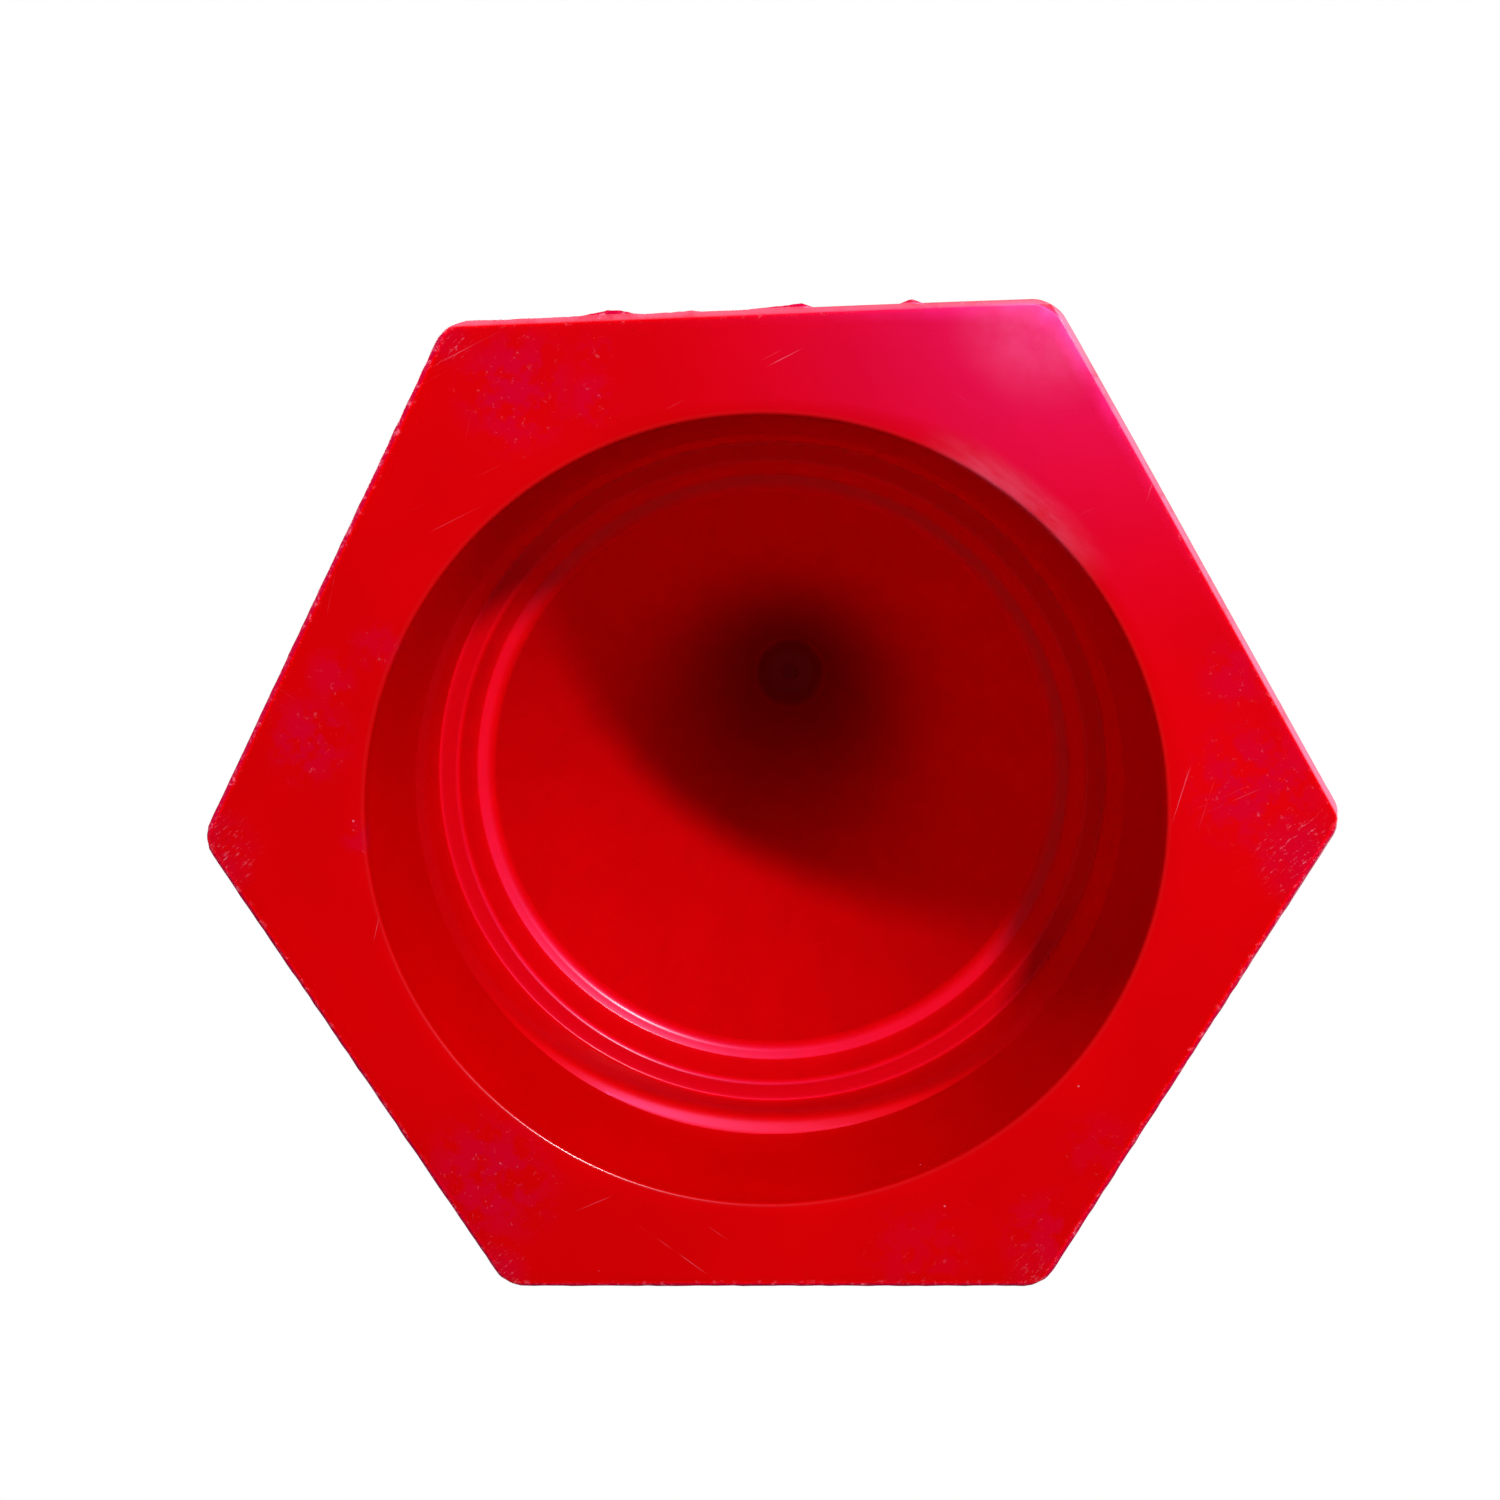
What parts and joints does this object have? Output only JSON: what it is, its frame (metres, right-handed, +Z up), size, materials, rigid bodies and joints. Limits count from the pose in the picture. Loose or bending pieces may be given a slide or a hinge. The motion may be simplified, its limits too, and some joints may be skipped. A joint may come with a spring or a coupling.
{
  "type": "road traffic cone",
  "caption": "Hollow road traffic cone in soft PVC on a heavy hexagonal base, with stepped stacking rings inside its foot and white reflective sleeves.",
  "frame": {"origin": "middle of the flat underside of the hexagonal base, on the cone's axis", "axes": "+Z up along the cone's axis to its tip; X through two opposite corners of the hexagon; Y through the middles of two opposite flat sides"},
  "size_m": [0.294, 0.2574, 0.5],
  "materials": {
    "base_pvc": "satin moulded soft PVC, scuffed at the edges and corners, dusty patches",
    "cone_pvc": "satin moulded soft PVC, clean inside, lightly scuffed outside",
    "reflective_sheeting": "white retroreflective sheeting with a fine honeycomb seal pattern"
  },
  "bodies": {
    "root": {"base": "base_pvc", "cone_body": "cone_pvc", "lower_sleeve": "reflective_sheeting", "upper_sleeve": "reflective_sheeting"}
  },
  "joints": []
}
